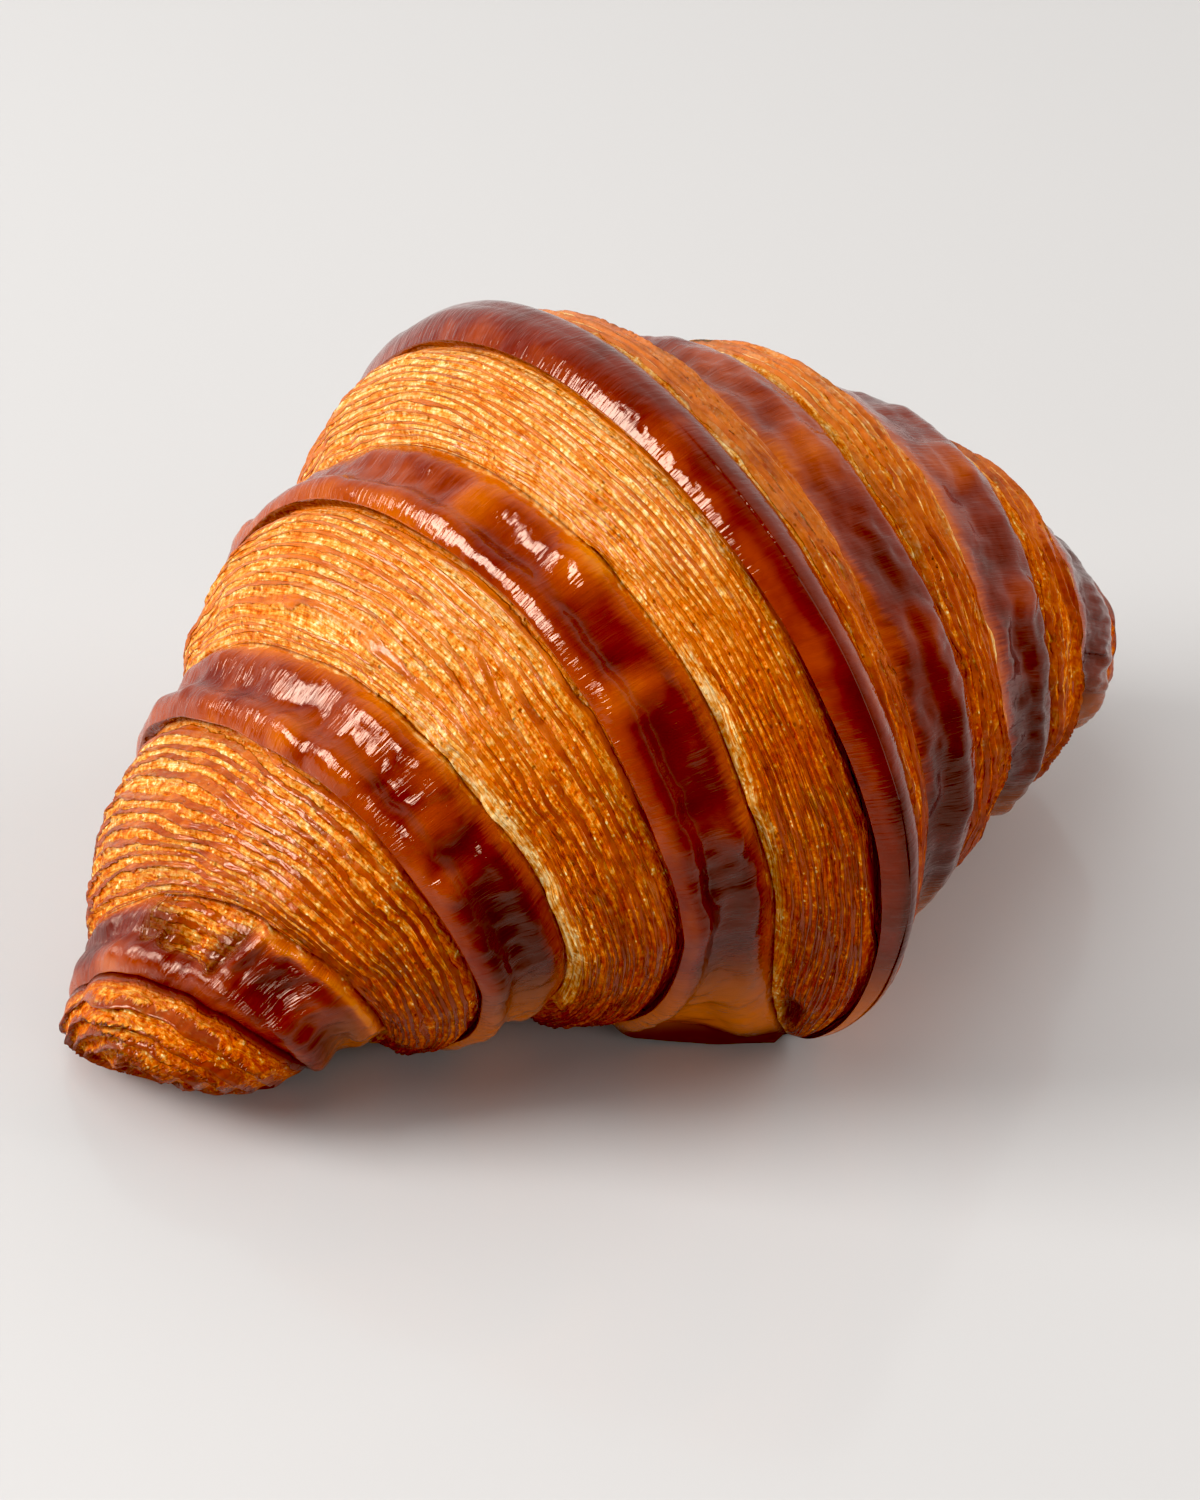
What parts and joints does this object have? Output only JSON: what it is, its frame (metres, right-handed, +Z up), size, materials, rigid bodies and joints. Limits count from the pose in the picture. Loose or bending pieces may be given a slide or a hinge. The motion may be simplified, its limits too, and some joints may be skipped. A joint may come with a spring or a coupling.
{
  "type": "croissant",
  "caption": "Plump rolled croissant with glossy browned bands, laminated ridged faces, a centre wrap and a tucked tongue; lies flat",
  "frame": {"origin": "centre of the footprint's bounding box on the table the croissant lies on", "axes": "+X along the roll from the near end (nose) to the far end (tail), +Y to the back, +Z up"},
  "size_m": [0.1396, 0.1066, 0.0752],
  "materials": {
    "crust": "glazed golden-brown crust: glossy on the rolled bands, matt on the laminated faces"
  },
  "bodies": {
    "root": {"croissant": "crust"}
  },
  "joints": []
}
